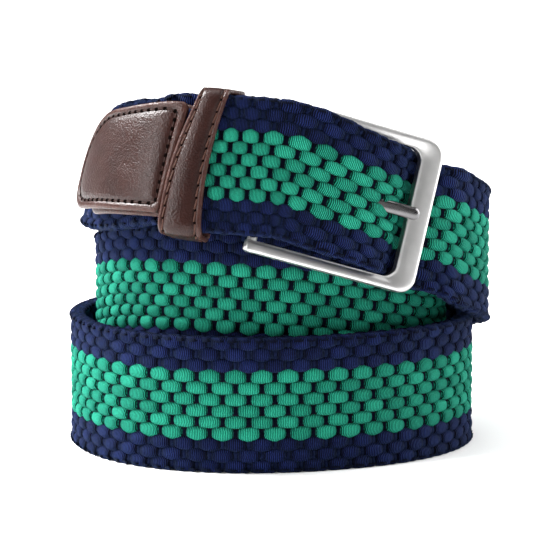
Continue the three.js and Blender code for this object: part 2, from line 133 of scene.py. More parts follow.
# Length along the strap of the counted row's floats, beside the number of the float there
float_places = [
    (18, -9.6), (55, -2.6), (68.7, 0), (73.6, 1), (84.9, 3), (91.4, 4), (106.7, 6), (113.6, 7),
    (374.4, 46), (473.4, 61), (676.2, 92), (698.8, 96), (722.9, 100), (749.4, 104), (1014, 143.6),
]

# Camera: a long lens a little above the strap's upper edge
camera_distance = 800
camera_height = 156.6
camera_aim_height = 45
camera_lens = 192.42
camera_shift = (0.0146, -0.0144)

# Light: the middle that the softboxes face, their names, places and sizes in metres, and their watts
light_aim = (0, 0, 0.05)
world_strength = 0.085
sun_strength = 2.65
sun_spread_deg = 60
softboxes = [
    ("left_softbox", (-0.74, -0.42, 0.28), (0.12, 0.5), 7.5),
    ("back_left_softbox", (-0.7, 0.5, 0.3), (0.4, 0.6), 0.45),
    ("high_left_softbox", (-0.76, 0.27, 0.8), (0.4, 0.4), 42),
    ("front_right_card", (0.42, -0.8, 0.3), (0.5, 0.6), 0.45),
    ("right_softbox", (0.85, 0.1, 0.35), (0.7, 0.9), 8.5),
    ("back_right_softbox", (0.75, 0.4, 0.35), (0.5, 0.7), 4),
]

# Floor: half its width in metres, and its glow, which starts a little way off and grows to the most
floor_half = 8
glow_per_metre = 4
glow_start = 0.2
glow_most = 0.35


def column(rows, index):
    """Smooth curve through a table's column that never overshoots its rows."""
    x = np.array([row[0] for row in rows], float)
    y = np.array([row[index] for row in rows], float)
    slope = np.diff(y) / np.diff(x)
    tangent = np.zeros(len(x))
    tangent[0] = slope[0]
    tangent[-1] = slope[-1]
    for i in range(1, len(x) - 1):
        if slope[i - 1] * slope[i] > 0:
            before = x[i] - x[i - 1]
            after = x[i + 1] - x[i]
            first = 2 * after + before
            second = after + 2 * before
            tangent[i] = (first + second) / (first / slope[i - 1] + second / slope[i])

    def value(at):
        at = np.asarray(at, float)
        i = np.clip(np.searchsorted(x, at) - 1, 0, len(x) - 2)
        span = x[i + 1] - x[i]
        t = np.clip((at - x[i]) / span, 0, 1)
        plain = (2 * t**3 - 3 * t**2 + 1) * y[i] + (3 * t**2 - 2 * t**3) * y[i + 1]
        return plain + span * ((t**3 - 2 * t**2 + t) * tangent[i] + (t**3 - t**2) * tangent[i + 1])

    return value


def plan_radius(deg):
    """Radius of the coil's plan at an angle from the front, positive to the right."""
    a = np.radians(deg)
    turn = radians(coil_turn_deg)
    across = np.abs((np.sin(a) * cos(turn) - np.cos(a) * sin(turn)) / coil_half_width)
    deep = np.abs((np.cos(a) * cos(turn) + np.sin(a) * sin(turn)) / coil_half_depth)
    return (across**coil_squareness + deep**coil_squareness) ** (-1 / coil_squareness)


def unit(v):
    return v / np.linalg.norm(v, axis=-1, keepdims=True)


def lengths_along(points):
    """The length along a line from its first point to each of its points."""
    return np.concatenate([[0], np.cumsum(np.linalg.norm(np.diff(points, axis=0), axis=1))])


def along_line(at, lengths, points):
    """The points at some lengths along a line."""
    return np.stack([np.interp(at, lengths, points[:, k]) for k in range(points.shape[1])], axis=-1)


def closed_line(points):
    """A ring of points with its first point again at the end, and the length to each."""
    closed = np.concatenate([points, points[:1]])
    return closed, lengths_along(closed)


class Path:
    """The strap's middle line through rows of angle, distance in from the plan, height and outward lean."""

    def __init__(self, rows, lock=None):
        self.first = rows[0][0]
        self.last = rows[-1][0]
        self.inward = column(rows, 1)
        self.height = column(rows, 2)
        self.lean = column(rows, 3)
        self.lock = lock

    def point(self, deg):
        a = np.radians(deg)
        r = plan_radius(deg) - self.inward(deg)
        return np.stack([r * np.sin(a), -r * np.cos(a), self.height(deg)], axis=-1)

    def frames(self, deg):
        """Middle, direction along, direction across and outward normal at each angle."""
        deg = np.asarray(deg, float)
        ahead = self.point(np.minimum(deg + 0.05, self.last))
        along = unit(ahead - self.point(np.maximum(deg - 0.05, self.first)))
        up = unit(np.array([0, 0, 1.0]) - along * along[..., 2:])
        out = np.cross(along, up)
        a = np.radians(self.lean(deg))
        if self.lock:
            lock = self.lock
            outside = np.maximum(0, np.maximum(lock["from"] - deg, deg - lock["to"]))
            outside = np.minimum(outside / lock["ease"], 1)
            share = 1 - outside**2 * (3 - 2 * outside)
            square = np.arctan2(out @ lock["across"], up @ lock["across"])
            a = a + share * (square - a)
        c, s = np.cos(a)[..., None], np.sin(a)[..., None]
        return self.point(deg), along, up * c + out * s, out * c - up * s


# The strap from the right side onward: bottom wrap, middle wrap and the buckle end, up to the hinge bar
tail_front = half_strap - 1.15 * layer
buckle_end = tail_front + half_strap + piece_gap + eye_outer
keeper_back = buckle_end + tab_strap_thickness / 2 + 2 * tab_leather + 2 * piece_gap + leather_thickness
middle_wrap = max(half_strap + 1.7 * layer, keeper_back + piece_gap + half_strap)
buckle_last = 3 * full_turn + hinge_deg
w = strap_width
coil_rows = [
    (90, half_strap - layer, 1.414 * w, 0),
    (135, half_strap - layer, 1.16 * w, 0),
    (180, half_strap - layer, 0.86 * w, 0),
    (225, half_strap - 0.5 * layer, 0.58 * w, 0),
    (250, half_strap - 0.15 * layer, w / 2, 0),
    (270, half_strap, w / 2, 0),
    (360, half_strap, w / 2, 0),
    (450, half_strap, w / 2, 0),
    (490, half_strap + 0.08 * layer, w / 2, 0),
    (540, half_strap + 0.3 * layer, 0.69 * w, 0),
    (562, half_strap + 0.43 * layer, 0.82 * w, 0),
    (585, half_strap + layer, 0.971 * w, 0),
    (610, half_strap + 1.5 * layer, 1.03 * w, 0),
    (630, half_strap + 1.62 * layer, 1.075 * w, 0),
    (648, half_strap + 1.67 * layer, 1.16 * w, 0),
    (668, middle_wrap, 1.24 * w, 0),
    (690, middle_wrap, 1.266 * w, 0),
    (720, middle_wrap, 1.235 * w, 0),
    (745, middle_wrap, 1.17 * w, 0),
    (765, half_strap + 1.7 * layer, 1.1 * w, 0),
    (785, half_strap + 1.68 * layer, 1.01 * w, 0),
    (810, half_strap + 1.7 * layer, 0.95 * w, 0),
    (855, half_strap + 1.6 * layer, 1.26 * w, 0),
    (900, half_strap + 1.55 * layer, 1.72 * w, 0),
    (922, half_strap + 1.5 * layer, 1.92 * w, -4),
    (945, half_strap + 1.24 * layer, 2.05 * w, -9),
    (972, half_strap + 1.45 * layer, 2.095 * w, -13.5),
    (990, half_strap + 1.72 * layer, 2.094 * w, -16),
    (1014, half_strap + 1.42 * layer, 2.118 * w, -16.5),
    (1035, buckle_end + 0.62 * layer, 2.185 * w, -16.5),
    (1052, buckle_end, 2.275 * w, -15.5),
    (1064, buckle_end, 2.254 * w, -14),
    (buckle_last, buckle_end, 2.163 * w, -12),
]
inner = Path(coil_rows)

# The buckle's frame turns about the hinge bar, out to where the strap passes behind its end bar
hinge_point, hinge_along, hinge_across, hinge_normal = inner.frames(buckle_last)
turn = radians(frame_turn_deg)
frame_along = hinge_along * cos(turn) + hinge_normal * sin(turn)
frame_out = hinge_normal * cos(turn) - hinge_along * sin(turn)
frame_across = hinge_across
hinge_inset = hinge_bar_diameter / 2 + 0.2
end_bar_at = frame_length - hinge_inset - end_bar_width / 2


def on_frame(u, n, v):
    """Points by the buckle: along it from the hinge bar, out from its middle plane, across it."""
    u, n, v = np.broadcast_arrays(*[np.asarray(value, float)[..., None] for value in (u, n, v)])
    return hinge_point + frame_along * u + frame_out * n + frame_across * (v + frame_lift)


def plan_place(p):
    """Where a point lies on the coil's plan: its angle, how far in it is, its height."""
    deg = degrees(atan2(p[0], -p[1]))
    return deg, float(plan_radius(deg)) - hypot(p[0], p[1]), p[2]


under_bar = -(frame_thickness / 2 + 2 * piece_gap + half_strap)
behind_bar_start = plan_place(on_frame(end_bar_at - end_bar_width / 2 - 1.3, under_bar, 0))
behind_bar_end = plan_place(on_frame(end_bar_at + end_bar_width / 2 + 0.4, under_bar, -0.8 * strap_rise))
prong_hole = plan_place(on_frame(end_bar_at - end_bar_width / 2 - 6.2, 1.7, 0))
over_hinge = plan_place(on_frame(0, eye_outer + piece_gap + half_strap, strap_rise))
over_side_bars = plan_place(on_frame(0.46 * end_bar_at, 5.4, 0.45 * strap_rise))


def tip_inward(deg):
    return float(inner.inward(3 * full_turn + deg)) - tip_stack


# The tail, from the free tip to the right side, laid on the buckle end and through the frame
through_frame = [over_hinge, over_side_bars, prong_hole, behind_bar_start, behind_bar_end]
tail_rows = [
    (-84, tip_inward(-84), 2.12 * w, -16),
    (-66, tip_inward(-66), 2.205 * w, -16.5),
    (-45, tip_inward(-45), 2.29 * w, -16.5),
    (-29, tip_inward(-29), 2.314 * w, -15.5),
    (-20, tail_front, 2.288 * w, -14),
    *[(*place, -8) for place in through_frame],
    (58, half_strap - 0.8 * layer, 1.705 * w, -4),
    (66, half_strap - 0.95 * layer, 1.61 * w, -3),
    (76, half_strap - layer, 1.52 * w, -1),
]
window_lock = {"across": frame_across, "from": over_hinge[0], "to": behind_bar_end[0], "ease": 14}
path = Path([*tail_rows, *coil_rows], window_lock)

# Frames and lengths sampled along the path
sample_deg = np.linspace(path.first, path.last, 6001)
sample_frames = path.frames(sample_deg)
sample_arc = lengths_along(sample_frames[0])
arc_end = sample_arc[-1]


def arc_of(deg):
    return float(np.interp(deg, sample_deg, sample_arc))


def on_strap(arc, n, v):
    """Points by the strap: length along the path, out from its middle face, across from its centreline."""
    arc, n, v = np.broadcast_arrays(*[np.asarray(value, float) for value in (arc, n, v)])
    middle, along, across, normal = [along_line(arc, sample_arc, part) for part in sample_frames]
    beyond = np.maximum(0, arc - arc_end)[..., None]
    return middle + along * beyond + unit(normal) * n[..., None] + unit(across) * v[..., None]


# Stations along the strap, and its width and thickness between them
keeper_arc = arc_of(keeper_deg)
keeper_skew = tan(radians(keeper_skew_deg))
tip_skew = tan(radians(tip_skew_deg))
tip_to = keeper_arc - keeper_width / 2 - tip_gap - tip_height / 2 * abs(keeper_skew - tip_skew)
tip_from = tip_to - tip_length
hinge_arc = arc_of(over_hinge[0])
bar_arc = arc_of(behind_bar_start[0])
bar_end_arc = arc_of(behind_bar_end[0])
strap_from = tip_from + tip_margin
strap_to = arc_end - eye_outer - piece_gap
tab_strap_width = frame_window - 2 * (window_clearance + frame_lift) - 3
width_rows = [
    (strap_from, tip_height - 2 * tip_margin, tip_strap_thickness),
    (tip_to + 0.8, tip_height - 2 * tip_margin, tip_strap_thickness),
    (keeper_arc + keeper_width * 0.3, strap_width, strap_thickness),
    (hinge_arc + 0.2 * (bar_arc - hinge_arc), strap_width, strap_thickness),
    (bar_arc - 13, window_strap_width, strap_thickness),
    (bar_end_arc + 2, window_strap_width, strap_thickness),
    (bar_end_arc + 22, strap_width, strap_thickness),
    (arc_of(950), strap_width, strap_thickness),
    (arc_of(985), strap_width - buckle_end_narrowing, strap_thickness),
    (arc_of(1040), strap_width - buckle_end_narrowing, strap_thickness),
    (strap_to - tab_length - 3.5, strap_width, strap_thickness),
    (strap_to - tab_length + 2.6, tab_strap_width, tab_strap_thickness),
    (strap_to, tab_strap_width, tab_strap_thickness),
]
width_at = column(width_rows, 1)
thickness_at = column(width_rows, 2)


def tip_limits(at, inset):
    """Lowest and highest edge of the leather tip at a length from its free end, that far inside its edge."""
    half = tip_height / 2 - inset
    length = tip_length - 2 * inset
    x = min(length, max(0, at - inset))

    def corner(distance, radius):
        r = max(0.4, radius - inset)
        return 0 if distance >= r else r - sqrt(r * r - (r - distance) ** 2)

    narrower = tip_taper * (1 - x / length)
    high = half - 0.85 * narrower - corner(x, tip_big_corner) - corner(length - x, tip_inner_corner)
    low = -half + 0.15 * narrower + corner(x, tip_small_corner) + corner(length - x, tip_inner_corner)
    return low, high


def frame_shift():
    """How far the CAD frame has the strap from the coil's own axis, from the strap's box in each."""
    arc = np.linspace(strap_from, strap_to, 2500)[:, None, None]
    side = np.array([-1, 1])[None, :, None]
    across = np.array([-1, 1])[None, None, :]
    skin = on_strap(arc, side * thickness_at(arc) / 2, across * width_at(arc) / 2).reshape(-1, 3)
    low, high = [np.array(corner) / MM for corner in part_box("woven_strap")]
    middle = (low + high) / 2 - (skin.min(0) + skin.max(0)) / 2
    return np.array([middle[0], middle[1], 0])


# Making meshes


def add_object(name, data):
    """A new object in the scene."""
    added = bpy.data.objects.new(name, data)
    bpy.context.scene.collection.objects.link(added)
    return added


def new_mesh(name, points, faces, look, replaces=(), uv=None, tone=None):
    """One smooth piece from points in millimetres and an array of faces, or a list of such arrays."""
    mesh = bpy.data.meshes.new(name)
    groups = faces if isinstance(faces, list) else [faces]
    corners = np.concatenate([np.asarray(group, np.int32).ravel() for group in groups])
    sizes = np.concatenate([np.full(len(group), group.shape[1], np.int32) for group in groups])
    starts = np.concatenate([[0], np.cumsum(sizes)[:-1]])
    mesh.vertices.add(len(points))
    mesh.vertices.foreach_set("co", ((points + shift) * MM).astype(np.float32).ravel())
    mesh.loops.add(len(corners))
    mesh.loops.foreach_set("vertex_index", corners)
    mesh.polygons.add(len(sizes))
    mesh.polygons.foreach_set("loop_start", starts.astype(np.int32))
    mesh.polygons.foreach_set("use_smooth", np.full(len(sizes), True))
    if uv is not None:
        surface = mesh.uv_layers.new(name="surface")
        surface.data.foreach_set("uv", np.asarray(uv, np.float32)[corners].ravel())
    if tone is not None:
        attribute = mesh.attributes.new("tone", "FLOAT", "POINT")
        attribute.data.foreach_set("value", np.asarray(tone, np.float32))
    mesh.update(calc_edges=True)
    mesh.validate()
    material, slot = looks[look]
    mesh.materials.append(material)
    piece = add_object(name, mesh)
    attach(piece, "root")
    if replaces:
        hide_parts(*replaces)


def grid_faces(rows, columns, wrap_rows=False, wrap_columns=False):
    """Quads over a grid of points numbered row by row."""
    i = np.arange(rows if wrap_rows else rows - 1)
    j = np.arange(columns if wrap_columns else columns - 1)
    i, j = [a.ravel() for a in np.meshgrid(i, j, indexing="ij")]
    below = (i + 1) % rows
    beside = (j + 1) % columns
    corners = [i * columns + j, below * columns + j, below * columns + beside, i * columns + beside]
    return np.stack(corners, axis=1)


def outward(points, faces):
    """The faces of a closed skin, turned outwards if its volume comes out negative."""
    groups = faces if isinstance(faces, list) else [faces]
    volume = 0
    for group in groups:
        p = points[group]
        for k in range(1, group.shape[1] - 1):
            volume += np.einsum("ij,ij->i", p[:, 0], np.cross(p[:, k], p[:, k + 1])).sum()
    return faces if volume > 0 else [group[:, ::-1] for group in groups]


def tile(points, faces, copies):
    """Many like patches as one: points of shape (copies, points, 3), and the patch's faces repeated."""
    step = points.shape[1]
    all_faces = (faces[None] + np.arange(copies)[:, None, None] * step).reshape(-1, faces.shape[1])
    return points.reshape(-1, 3), all_faces


def tube(rings):
    """The points and outward faces of a skin through closed rings of points, shut at both ends."""
    count = rings.shape[1]
    points = rings.reshape(-1, 3)
    ring = np.arange(count)
    caps = np.array([ring, (len(rings) - 1) * count + ring[::-1]])
    return points, outward(points, [grid_faces(len(rings), count, wrap_columns=True), caps])


# The woven strap


def strap_core():
    """The navy ground of the weave that shows between the floats, made near-black in part as painted shade
    between them.
    """
    arc = np.linspace(strap_from, strap_to, 520)
    face = core_thickness / 2
    bevel = face - 0.3
    ring = [
        (-bevel, 0), (bevel, 0), (face, 0.35), (face, 1), (face, 2), (face, 2.65),
        (bevel, 3), (-bevel, 3), (-face, 2.65), (-face, 2), (-face, 1), (-face, 0.35),
    ]
    rings = []
    for at in arc:
        high = float(width_at(at)) / 2 - core_inset
        low = -high
        if at < tip_to:
            limits = tip_limits(at - tip_from, tip_margin)
            low, high = max(low, limits[0]), min(high, limits[1])
        rings.append([(at, n, low + (high - low) * share / 3) for n, share in ring])
    rings = np.array(rings)
    points, faces = tube(on_strap(rings[..., 0], rings[..., 1], rings[..., 2]))
    shares = [share for _, share in ring]
    uv = np.stack([np.repeat(arc, len(ring)) / 10, np.tile(shares, len(arc))], axis=1)
    new_mesh("strap_core", points, faces, "ground", ["woven_strap"], uv)


station_arc = np.linspace(float_places[0][0], float_places[-1][0], 4000)
station_number = column(float_places, 1)(station_arc)


def station(number):
    """Length along the strap of a float of the counted row, from its number, between two numbers too."""
    return np.interp(number, station_number, station_arc)


def row_numbers(row, side):
    """The numbers of a row's floats on one face: rows and faces take turns by half a number."""
    odd = (counted_row - row) % 2 * 0.5 + (0.5 if side < 0 else 0)
    first = int(np.ceil(float_places[0][1]))
    return [number + odd for number in range(first, int(float_places[-1][1]))]


def row_middle(row):
    """How far across the strap a row lies."""
    return (row - (row_count - 1) / 2) * row_pitch


def parting(arc, v):
    """How far the prong pushes the floats beside it across the strap."""
    at = arc_of(prong_hole[0]) + 2.5
    away = v - prong_side
    reach = np.exp(-(((arc - at) / 6.5) ** 2)) * np.exp(-((away / 4.2) ** 2))
    return np.sign(away) * np.minimum(np.abs(away), 1) * 0.75 * reach


def float_shape(along_steps, across_steps, boxy, round_):
    """A pillow as (length, width, height) shares over a grid, with its texture coordinates."""
    a = np.radians(np.linspace(-90, 90, along_steps + 1))[:, None]
    b = np.radians(np.linspace(-98, 98, across_steps + 1))[None, :]
    long_ = np.sign(np.sin(a)) * np.abs(np.sin(a)) ** boxy * np.ones_like(b)
    taper = np.clip(np.cos(a), 0, 1) ** boxy
    bulge = 0.96 + 0.13 * np.cos(np.clip(long_, -1, 1) * pi / 2)
    wide = bulge * taper * np.sign(np.sin(b)) * np.abs(np.sin(b)) ** round_
    high = taper**1.15 * np.sign(np.cos(b)) * np.abs(np.cos(b)) ** round_
    u = (long_ + 1) / 2
    v = (b + radians(98)) / radians(196) * np.ones_like(a)
    return np.stack([long_, wide, high], axis=-1).reshape(-1, 3), np.stack([u, v], axis=-1).reshape(-1, 2)


def yarns(name, points, steps, flip, look, uv, tones):
    """Like patches of yarn as one mesh, each a grid of so many rows of points."""
    faces = grid_faces(steps, points.shape[1] // steps)
    points, faces = tile(points, faces[:, ::-1] if flip else faces, len(points))
    new_mesh(name, points, faces, look, (), uv, tones)


def peak_of(row, rows, outermost):
    """How far a float's middle stands out: fully at the green band's rim, a little in all the navy."""
    return (row == outermost) * 1.0 if rows == green_rows else navy_peak


def floats(name, rows, side, look, boxy, gap):
    """The floats of some rows on one face of the strap, as one mesh."""
    shape, uv = float_shape(10, 8, boxy, 0.95)
    cells = []
    for row in rows:
        for number in row_numbers(row, side):
            start, middle, end = [station(number + step) for step in (-0.5, 0, 0.5)]
            if tip_to - 1 <= middle <= strap_to - tab_length + 1.5:
                half_length = (end - start) / 2 - gap / 2
                cells.append((row, middle, half_length, chance.uniform(-1, 1), chance.random()))
    row, middle, half_length, wobble, tone = [values[:, None] for values in np.array(cells).T]
    long_, wide, high = shape.T[:, None]
    v_middle = row_middle(row)
    edge = np.sign(v_middle) * (np.abs(v_middle) > 5 * row_pitch)
    spread = (1 - np.abs(long_)) * 0.5
    peak = peak_of(row, rows, max(rows)) * np.clip(wide, 0, 1) * spread
    trough = peak_of(row, rows, min(rows)) * np.clip(-wide, 0, 1) * spread
    arc = middle + long_ * half_length
    v = v_middle - edge * 0.15 + wide * row_pitch * 0.54 + long_ * wobble * 0.12 + peak - trough
    v = v * width_at(middle) / strap_width
    v = v + parting(arc, v)
    crown = thickness_at(arc) / 2 + float_proud - yarn_base
    n = side * (yarn_base + high * crown * (1 + 0.06 * wobble))
    tones = np.repeat(tone[:, 0], len(uv))
    uvs = np.tile(uv, (len(cells), 1)) + np.repeat(np.floor(tone * 40), len(uv), axis=0)
    yarns(name, on_strap(arc, n, v), 11, side > 0, look, uvs, tones)


def gap_yarns(name, rows, side, rise, look):
    """The short navy crossings that show between the floats of a row."""
    shape, uv = float_shape(4, 4, 0.8, 0.8)
    cells = []
    for row in rows:
        for number in row_numbers(row, side):
            middle = station(number + 0.5)
            if tip_to < middle < strap_to - tab_length:
                cells.append((row, middle))
    row, middle = [values[:, None] for values in np.array(cells).T]
    long_, wide, high = shape.T[:, None]
    arc = middle + long_ * 0.95
    v = (row_middle(row) + wide * row_pitch * 0.45) * width_at(middle) / strap_width
    points = on_strap(arc, side * (yarn_base + high * rise), v + parting(arc, v))
    uvs = np.tile(uv, (len(cells), 1))
    # The low fixed tone darkens these sunken crossings as painted shade
    yarns(name, points, 5, side > 0, look, uvs, np.full(len(uvs), gap_shade_tone))


def edge_braid(name, edge):
    """The yarns that turn over one long edge of the strap, leaning both ways like a plait."""
    shape, uv = float_shape(8, 6, 0.85, 0.9)
    cells = []
    for side in (-1, 1):
        for half_number in range(int(2 * float_places[0][1]), int(2 * float_places[-1][1])):
            number = half_number / 2 + (0.25 if side > 0 else 0)
            middle = station(number)
            if tip_to + 0.5 < middle < strap_to - tab_length + 1:
                length = station(number + 0.25) - station(number - 0.25)
                cells.append((side, middle, length, chance.random()))
    side, middle, length, tone = [values[:, None] for values in np.array(cells).T]
    long_, wide, high = shape.T[:, None]
    slant = radians(braid_slant_deg) * side
    half_length = length * 0.72
    arc = middle + long_ * half_length * np.cos(slant) - wide * 0.85 * np.sin(slant)
    n = side * 0.75 + long_ * half_length * np.sin(slant) + wide * 0.85 * np.cos(slant)
    n = n * thickness_at(arc) / strap_thickness
    v = edge * (width_at(arc) / 2 - 1 + high * 1.08)
    tones = np.repeat(tone[:, 0], len(uv))
    yarns(name, on_strap(arc, n, v), 9, edge < 0, "navy", np.tile(uv, (len(cells), 1)), tones)


# Leather


def tip_outline(extra):
    """Points round the tip as (length from the free end, across), with that much more below and inwards."""
    outer_end = [0.0, 0.02, 0.08, 0.2, 0.45, 0.9, 1.6, 2.6, 4, 5.8, 8, 11]
    inner_end = [2, 1.4, 0.8, 0.4, 0.15, 0.04, 0]
    stops = [*outer_end, *np.linspace(13, tip_length - 3, 12), *[tip_length - back for back in inner_end]]
    lower, upper = [], []
    for at in stops:
        low, high = tip_limits(at, 0)
        reach = at + extra * at / tip_length
        upper.append((reach, high))
        lower.append((reach, low - extra))
    closed, lengths = closed_line(np.array(lower + upper[::-1]))
    return along_line(np.linspace(0, lengths[-1], 201)[:-1], lengths, closed)


def inset_outline(outline, inset):
    """The outline drawn in by an amount on every side."""
    low, high = outline.min(0), outline.max(0)
    middle, half = (low + high) / 2, (high - low) / 2
    return middle + (outline - middle) * (1 - inset / half)


def on_tip(points, n, side):
    """Points on a leather layer of the tip, n out from that layer's middle."""
    middle = tip_strap_thickness / 2 + piece_gap + leather_thickness / 2
    at, v = points[:, 0], points[:, 1]
    return on_strap(tip_from + at + v * tip_skew * at / tip_length, side * (middle + n), v)


def tip_layer(name, side, extra, profile, node):
    """A leather layer of the tip, from (inset, height) pairs from the middle of its back round its edge."""
    outline = tip_outline(extra)
    count = len(outline)
    rings = [on_tip(inset_outline(outline, inset), n, side) for inset, n in profile]
    centre = inset_outline(outline, tip_height / 2 - 0.1).mean(0)[None]
    ends = [on_tip(centre, n, side) for n in (profile[0][1], profile[-1][1])]
    points = np.concatenate([*rings, *ends])
    faces = grid_faces(len(rings), count, wrap_columns=True)
    last = (len(rings) - 1) * count
    ring = np.arange(count)
    after = (ring + 1) % count
    caps = np.concatenate([
        np.stack([np.full(count, len(points) - 2), ring, after], axis=1),
        np.stack([last + ring, np.full(count, len(points) - 1), last + after], axis=1),
    ])
    insets = np.repeat([inset for inset, _ in profile], count)
    tone = np.concatenate([np.clip(1 - insets / 2.2, 0, 1), [0, 0]])
    new_mesh(name, points, outward(points, [faces, caps]), "leather", [node], None, tone)
    return outline


def capsules(name, starts, ends, above, radius, look, squash=1.0):
    """Short threads from starts to ends as one mesh, squashed towards the points above them."""
    sides, caps = 8, 3
    axis = unit(ends - starts)
    across = unit(np.cross(above - starts, axis))
    up = np.cross(axis, across)
    turns = [pi / 2 * k / caps for k in range(caps + 1)]
    stations = [(0, -cos(a) * radius, sin(a) * radius) for a in turns]
    stations += [(1, sin(a) * radius, cos(a) * radius) for a in turns]
    rings = []
    for at, push, r in stations:
        r = max(r, radius * 0.05)
        centre = starts + (ends - starts) * at + axis * push
        for b in np.linspace(0, 2 * pi, sides, endpoint=False):
            rings.append(centre + across * (cos(b) * r) + up * (sin(b) * r * squash))
    faces = grid_faces(len(stations), sides, wrap_columns=True)
    points, faces = tile(np.stack(rings, axis=1), faces, len(starts))
    new_mesh(name, points, faces, look, (), None, np.full(len(points), 0.5))


def leather_tip():
    """Both layers of the tip, its row of stitches and near-black marks between them, painted shade for the
    needle holes.
    """
    front = [
        (9, -0.55), (0.6, -0.6), (0.18, -0.52), (0, -0.25), (0, 0.1), (0.12, 0.38), (0.4, 0.58),
        (0.8, 0.68), (1.3, 0.66), (1.7, 0.5), (1.95, 0.26), (2.45, 0.26), (2.75, 0.48), (3.2, 0.68),
        (4.2, 0.84), (6, 0.98), (8.5, 1.08), (11, 1.12),
    ]
    back = [
        (9, -0.55), (0.6, -0.6), (0.2, -0.5), (0, -0.2), (0, 0.2), (0.2, 0.5), (0.6, 0.6), (2.1, 0.56),
        (2.4, 0.5), (2.8, 0.58), (9, 0.6),
    ]
    outline = tip_layer("tip_front_leather", 1, 0, front, "tip_front")
    tip_layer("tip_back_leather", -1, tip_back_extra, back, "tip_back")
    closed, lengths = closed_line(inset_outline(outline, tip_seam_inset))
    count = round(lengths[-1] / tip_stitch_pitch)
    pitch = lengths[-1] / count
    middle = np.arange(count) * pitch

    def seam(ahead, height, side):
        return on_tip(along_line((middle + ahead) % lengths[-1], lengths, closed), height, side)

    for side, label, height in ((1, "front", 0.36), (-1, "back", 0.56)):
        stitch = [seam(ahead, height - 0.05, side) for ahead in (0.5, pitch - 0.5)]
        capsules(f"tip_stitches_{label}", *stitch, seam(pitch / 2, height + 1, side), 0.2, "dark_thread")
        # Flat near-black marks in the seam: painted shade where the needle holes are
        hole = [seam(ahead, height, side) for ahead in (-0.1, 0.1)]
        capsules(f"tip_hole_shades_{label}", *hole, seam(0, height + 1, side), 0.5, "hole", 0.5)


def keeper_loop():
    """The keeper's middle line as (out, across, outward angle) round the loop, and the length to each."""
    out = half_strap + piece_gap + leather_thickness / 2
    behind = max(tab_strap_thickness / 2 + tab_leather + piece_gap, half_strap)
    back = tail_front - buckle_end - behind - 2 * piece_gap - leather_thickness / 2
    top = strap_width / 2 + piece_gap + leather_thickness / 2
    bottom = -top - keeper_drop
    small = keeper_corner * 0.6
    corners = [
        (out - keeper_corner, top - keeper_corner, keeper_corner, 0),
        (back + small, top - small, small, 90),
        (back + small, bottom + small, small, 180),
        (out - keeper_corner, bottom + keeper_corner, keeper_corner, 270),
    ]
    points = []
    for n, v, r, start in corners:
        for k in range(9):
            a = radians(start + 90 * k / 8)
            points.append((n + r * cos(a), v + r * sin(a), a))
    first = points[0]
    points.append((first[0], first[1], first[2] + 2 * pi))
    points = np.array(points)
    return points, lengths_along(points[:, :2])


keeper_line, keeper_lengths = keeper_loop()


def on_keeper(at, along, off):
    """Points on the keeper: length round its loop, along the strap from its middle, out from its face."""
    n, v, a = np.moveaxis(along_line(at % keeper_lengths[-1], keeper_lengths, keeper_line), -1, 0)
    off = np.where(off > 0.6, 0.6 + (off - 0.6) * np.clip(np.cos(a), 0, 1), off)
    behind = np.clip(-n / strap_thickness, 0, 1) * np.clip(0.6 + v / strap_width, 0, 1)
    bow = keeper_bow * (1 - (2 * v / strap_width) ** 2) * np.clip(n, 0, 1)
    place = keeper_arc + along + v * keeper_skew + keeper_back_shift * behind - bow
    return on_strap(place, n + off * np.cos(a), v + off * np.sin(a))


def keeper():
    """The stitched leather loop: rolled edges, a stitched channel by each and a padded middle."""
    half = keeper_width / 2
    rolled = [
        (0, -0.42), (0, 0.1), (0.12, 0.42), (0.4, 0.58), (0.75, 0.58), (1, 0.46), (1.15, 0.28), (1.5, 0.28),
        (1.7, 0.48), (2, 0.74), (2.7, 0.98), (half, 1.14),
    ]
    section = [(inset - half, off) for inset, off in rolled]
    section += [(-a, off) for a, off in section[-2::-1]]
    section += [(half - 0.2, -0.56), (half * 0.4, -0.58), (-half * 0.4, -0.58), (-half + 0.2, -0.56)]
    section = np.array(section)
    around = np.linspace(0, keeper_lengths[-1], 121)[:-1]
    at, k = np.meshgrid(around, np.arange(len(section)), indexing="ij")
    points = on_keeper(at, section[k, 0], section[k, 1]).reshape(-1, 3)
    faces = grid_faces(len(around), len(section), wrap_rows=True, wrap_columns=True)
    rim = np.clip((np.abs(section[:, 0]) - half + 1.4) / 0.8, 0, 1)
    tone = np.tile(rim, len(around))
    new_mesh("keeper_leather", points, outward(points, faces), "leather", ["keeper_loop"], None, tone)
    count = int(keeper_lengths[-1] / keeper_stitch_pitch)
    pitch = keeper_lengths[-1] / count
    middle = (np.arange(count) + 0.5) * pitch
    hole = middle + pitch / 2
    for edge, label in ((-1, "left"), (1, "right")):
        along = edge * (half - keeper_seam_inset)
        start = on_keeper(middle - 1.1, along - 0.14, 0.38)
        end = on_keeper(middle + 1.1, along + 0.14, 0.38)
        capsules(f"keeper_stitches_{label}", start, end, on_keeper(middle, along, 2), 0.24, "thread")
        # Flat near-black marks by the stitches: painted shade where the needle holes are
        start, end = [on_keeper(hole + ahead, along, 0.34) for ahead in (0, 0.05)]
        capsules(f"keeper_hole_shades_{label}", start, end, on_keeper(hole, along, 2), 0.36, "hole", 0.35)


